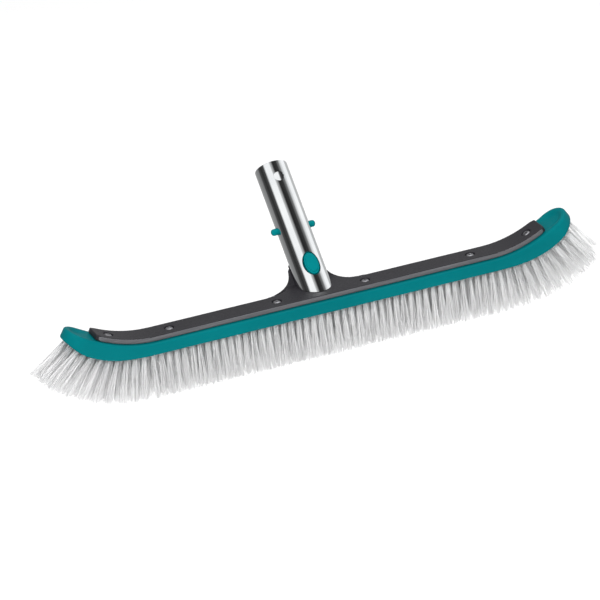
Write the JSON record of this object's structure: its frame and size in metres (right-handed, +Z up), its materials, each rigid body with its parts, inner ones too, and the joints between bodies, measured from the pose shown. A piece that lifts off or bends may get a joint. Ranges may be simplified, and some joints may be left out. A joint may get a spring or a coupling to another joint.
{
  "type": "pool wall brush",
  "caption": "Long curved bristle head with a metal back plate, a tilted handle tube, and a push button that draws in side lock pins so that it slips into a telescopic pole.",
  "frame": {"origin": "middle of the bristle tips, on the surface that the brush stands on", "axes": "+X along the head, +Y towards the side that the handle leans to, +Z up from the bristle tips to the body"},
  "size_m": [0.4828, 0.1204, 0.1411],
  "materials": {
    "teal_body": "moulded teal plastic, semi-gloss with a fine grain",
    "teal_lock": "smooth moulded teal plastic",
    "dark_plate": "dark grey satin coat on cast aluminium",
    "polished_tube": "polished bright metal with fine lengthwise drawing lines",
    "screw_steel": "plain stainless screw",
    "spring_steel": "bright drawn spring wire",
    "black_clip": "black moulded plastic",
    "bristle_nylon": "white translucent nylon filament"
  },
  "bodies": {
    "brush": {"brush_body": "teal_body", "back_plate": "dark_plate", "back_screw_left_outer": "screw_steel", "back_screw_left_middle": "screw_steel", "back_screw_left_inner": "screw_steel", "back_screw_right_inner": "screw_steel", "back_screw_right_middle": "screw_steel", "back_screw_right_outer": "screw_steel", "bristle_row_1": "bristle_nylon", "bristle_row_2": "bristle_nylon", "bristle_row_3": "bristle_nylon", "bristle_row_4": "bristle_nylon", "bristle_row_5": "bristle_nylon", "handle_tube": "polished_tube", "cradle_screw_1": "screw_steel", "cradle_screw_2": "screw_steel", "clip_carrier": "black_clip", "clip_cover": "black_clip", "clip_screw_left": "screw_steel", "clip_screw_right": "screw_steel", "pin_spring": "spring_steel"},
    "button": {"release_button": "teal_lock"},
    "lock_left": {"lock_slider_left": "teal_lock"},
    "lock_right": {"lock_slider_right": "teal_lock"}
  },
  "joints": [
    {"name": "button_press", "type": "slide", "parent": "brush", "child": "button", "axis": [0, 0.7071, -0.7071], "range_m": [0, 0.0053], "stiffness_N_per_m": 800, "springref_m": -0.004},
    {"name": "lock_left_slide", "type": "slide", "parent": "brush", "child": "lock_left", "axis": [1, 0, 0], "range_m": [0, 0.0053], "deforming": ["pin_spring"]},
    {"name": "lock_right_slide", "type": "slide", "parent": "brush", "child": "lock_right", "axis": [-1, 0, 0], "range_m": [0, 0.0053]}
  ],
  "couplings": [
    {"joint": "lock_left_slide", "follows": "button_press", "ratio": 1},
    {"joint": "lock_right_slide", "follows": "button_press", "ratio": 1}
  ]
}
